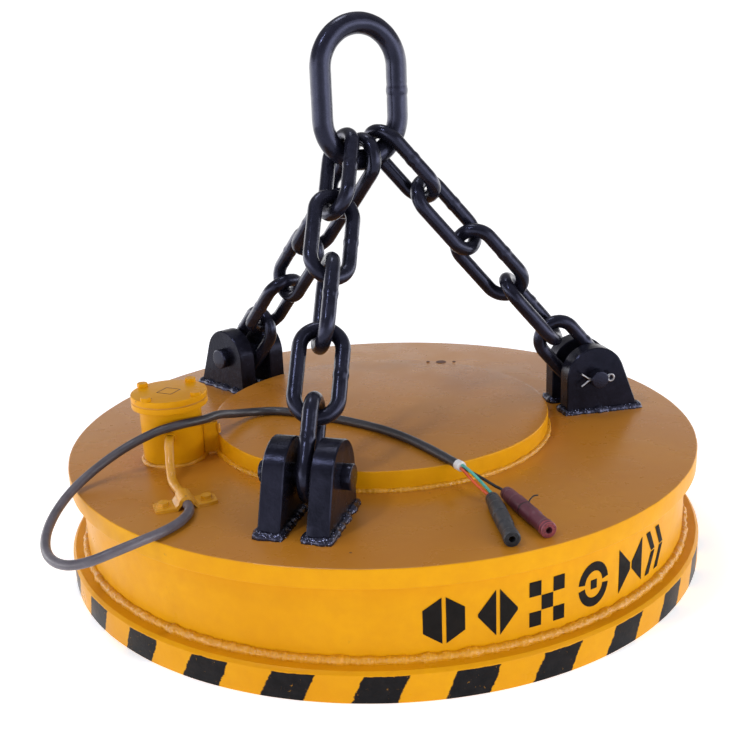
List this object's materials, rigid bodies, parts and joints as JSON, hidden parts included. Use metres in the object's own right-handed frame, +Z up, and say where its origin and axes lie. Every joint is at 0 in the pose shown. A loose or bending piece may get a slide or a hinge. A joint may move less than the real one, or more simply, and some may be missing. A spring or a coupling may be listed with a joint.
{
  "type": "lifting magnet",
  "caption": "Round steel lifting electromagnet hung on a chain sling from a master link, with a bolted terminal box and a power cable ending in single-pole connectors.",
  "frame": {"origin": "middle of the flat lifting face on the underside, on the magnet's axis", "axes": "+Z up along the magnet's axis; -Y towards the lug and the two connectors at the front, -X towards the terminal box"},
  "size_m": [0.9149, 0.915, 0.746],
  "materials": {
    "yellow_paint": "semi-gloss",
    "black_enamel": "gloss",
    "bare_steel": "machined",
    "cast_core": "rough",
    "manganese_steel": "rolled",
    "copper": "enamelled winding",
    "insulation": "laminate",
    "gasket_rubber": "matte",
    "zinc": "zinc plated",
    "brass": "machined",
    "cable_rubber": "satin",
    "jacket_end": "matte",
    "core_red": "satin",
    "core_green": "satin",
    "core_black": "satin",
    "connector_black": "semi-gloss",
    "connector_maroon": "semi-gloss"
  },
  "bodies": {
    "magnet": {"top_plate": "yellow_paint", "outer_pole_shell": "yellow_paint", "outer_pole_shoe": "yellow_paint", "shell_weld_beads": "yellow_paint", "inner_pole_core": "cast_core", "inner_pole_shoe": "yellow_paint", "inner_pole_bolts": "bare_steel", "coil_protection_plate": "manganese_steel", "coil_upper": "copper", "coil_lower": "copper", "coil_insulation_rings": "insulation", "coil_bobbin_sleeve": "insulation", "centre_boss": "yellow_paint", "boss_weld_bead": "yellow_paint", "front_lug_ear_a": "black_enamel", "front_lug_ear_b": "black_enamel", "right_lug_ear_a": "black_enamel", "right_lug_ear_b": "black_enamel", "rear_lug_ear_a": "black_enamel", "rear_lug_ear_b": "black_enamel", "lug_weld_beads": "black_enamel", "lug_pins": "black_enamel", "split_pins": "zinc", "terminal_box": "yellow_paint", "cover_gasket": "gasket_rubber", "terminal_box_cover": "yellow_paint", "cover_bolts": "yellow_paint", "terminal_block": "insulation", "terminal_studs": "brass", "coil_leads": "copper", "lead_duct": "yellow_paint", "cable_gland": "yellow_paint", "saddle_clamp": "yellow_paint", "clamp_bolts": "yellow_paint", "clamped_lead": "yellow_paint", "free_cable": "cable_rubber", "jacket_sleeve": "jacket_end", "core_red": "core_red", "core_green": "core_green", "core_black": "core_black", "connector_black": "connector_black", "connector_red": "connector_maroon", "socket_contacts": "brass"},
    "front_link_1": {"front_link_1": "black_enamel"},
    "front_link_2": {"front_link_2": "black_enamel"},
    "front_link_3": {"front_link_3": "black_enamel"},
    "front_link_4": {"front_link_4": "black_enamel"},
    "front_link_5": {"front_link_5": "black_enamel"},
    "right_link_1": {"right_link_1": "black_enamel"},
    "right_link_2": {"right_link_2": "black_enamel"},
    "right_link_3": {"right_link_3": "black_enamel"},
    "right_link_4": {"right_link_4": "black_enamel"},
    "right_link_5": {"right_link_5": "black_enamel"},
    "rear_link_1": {"rear_link_1": "black_enamel"},
    "rear_link_2": {"rear_link_2": "black_enamel"},
    "rear_link_3": {"rear_link_3": "black_enamel"},
    "rear_link_4": {"rear_link_4": "black_enamel"},
    "rear_link_5": {"rear_link_5": "black_enamel"},
    "master_link": {"master_link": "black_enamel"}
  },
  "joints": [
    {"name": "master_link_slide", "type": "slide", "parent": "magnet", "child": "master_link", "axis": [0, 0, 1], "range_m": [-0.022, 0]},
    {"name": "front_link_1_hinge", "type": "hinge", "parent": "magnet", "child": "front_link_1", "pos_m": [-0.0882, -0.3076, 0.219], "axis": [0.9613, -0.2756, 0], "range_deg": [-21.5, 0]},
    {"name": "front_link_2_hinge", "type": "hinge", "parent": "front_link_1", "child": "front_link_2", "pos_m": [-0.08095, -0.26165, 0.27289], "axis": [0.9613, -0.2756, 0], "range_deg": [0, 9.82]},
    {"name": "front_link_3_hinge", "type": "hinge", "parent": "front_link_2", "child": "front_link_3", "pos_m": [-0.06873, -0.1842, 0.36373], "axis": [0.9613, -0.2756, 0], "range_deg": [0, 9.82]},
    {"name": "front_link_4_hinge", "type": "hinge", "parent": "front_link_3", "child": "front_link_4", "pos_m": [-0.06117, -0.13631, 0.41989], "axis": [0.9613, -0.2756, 0], "range_deg": [0, 9.82]},
    {"name": "front_link_5_hinge", "type": "hinge", "parent": "front_link_4", "child": "front_link_5", "pos_m": [-0.04894, -0.05885, 0.51073], "axis": [0.9613, -0.2756, 0], "range_deg": [0, 9.82]},
    {"name": "right_link_1_hinge", "type": "hinge", "parent": "magnet", "child": "right_link_1", "pos_m": [0.31301, 0.06653, 0.219], "axis": [-0.2079, 0.9781, 0], "range_deg": [-21.48, 0]},
    {"name": "right_link_2_hinge", "type": "hinge", "parent": "right_link_1", "child": "right_link_2", "pos_m": [0.26725, 0.05919, 0.27353], "axis": [-0.2079, 0.9781, 0], "range_deg": [0, 9.82]},
    {"name": "right_link_3_hinge", "type": "hinge", "parent": "right_link_2", "child": "right_link_3", "pos_m": [0.19052, 0.04687, 0.36497], "axis": [-0.2079, 0.9781, 0], "range_deg": [0, 9.82]},
    {"name": "right_link_4_hinge", "type": "hinge", "parent": "right_link_3", "child": "right_link_4", "pos_m": [0.14284, 0.03922, 0.42178], "axis": [-0.2079, 0.9781, 0], "range_deg": [0, 9.82]},
    {"name": "right_link_5_hinge", "type": "hinge", "parent": "right_link_4", "child": "right_link_5", "pos_m": [0.06611, 0.0269, 0.51322], "axis": [-0.2079, 0.9781, 0], "range_deg": [0, 9.82]},
    {"name": "rear_link_1_hinge", "type": "hinge", "parent": "magnet", "child": "rear_link_1", "pos_m": [-0.22229, 0.23019, 0.219], "axis": [-0.7193, -0.6947, 0], "range_deg": [-21.57, 0]},
    {"name": "rear_link_2_hinge", "type": "hinge", "parent": "rear_link_1", "child": "rear_link_2", "pos_m": [-0.18951, 0.19439, 0.27121], "axis": [-0.7193, -0.6947, 0], "range_deg": [0, 9.82]},
    {"name": "rear_link_3_hinge", "type": "hinge", "parent": "rear_link_2", "child": "rear_link_3", "pos_m": [-0.13432, 0.13413, 0.3591], "axis": [-0.7193, -0.6947, 0], "range_deg": [0, 9.82]},
    {"name": "rear_link_4_hinge", "type": "hinge", "parent": "rear_link_3", "child": "rear_link_4", "pos_m": [-0.10016, 0.09683, 0.41351], "axis": [-0.7193, -0.6947, 0], "range_deg": [0, 9.82]},
    {"name": "rear_link_5_hinge", "type": "hinge", "parent": "rear_link_4", "child": "rear_link_5", "pos_m": [-0.04498, 0.03657, 0.5014], "axis": [-0.7193, -0.6947, 0], "range_deg": [0, 9.82]}
  ],
  "couplings": [
    {"joint": "front_link_1_hinge", "follows": "master_link_slide", "rad_per_m": 17.038},
    {"joint": "front_link_2_hinge", "follows": "master_link_slide", "rad_per_m": -7.7746},
    {"joint": "front_link_3_hinge", "follows": "master_link_slide", "rad_per_m": -7.7746},
    {"joint": "front_link_4_hinge", "follows": "master_link_slide", "rad_per_m": -7.7746},
    {"joint": "front_link_5_hinge", "follows": "master_link_slide", "rad_per_m": -7.7746},
    {"joint": "right_link_1_hinge", "follows": "master_link_slide", "rad_per_m": 17.022},
    {"joint": "right_link_2_hinge", "follows": "master_link_slide", "rad_per_m": -7.7746},
    {"joint": "right_link_3_hinge", "follows": "master_link_slide", "rad_per_m": -7.7746},
    {"joint": "right_link_4_hinge", "follows": "master_link_slide", "rad_per_m": -7.7746},
    {"joint": "right_link_5_hinge", "follows": "master_link_slide", "rad_per_m": -7.7746},
    {"joint": "rear_link_1_hinge", "follows": "master_link_slide", "rad_per_m": 17.099},
    {"joint": "rear_link_2_hinge", "follows": "master_link_slide", "rad_per_m": -7.7746},
    {"joint": "rear_link_3_hinge", "follows": "master_link_slide", "rad_per_m": -7.7746},
    {"joint": "rear_link_4_hinge", "follows": "master_link_slide", "rad_per_m": -7.7746},
    {"joint": "rear_link_5_hinge", "follows": "master_link_slide", "rad_per_m": -7.7746}
  ]
}
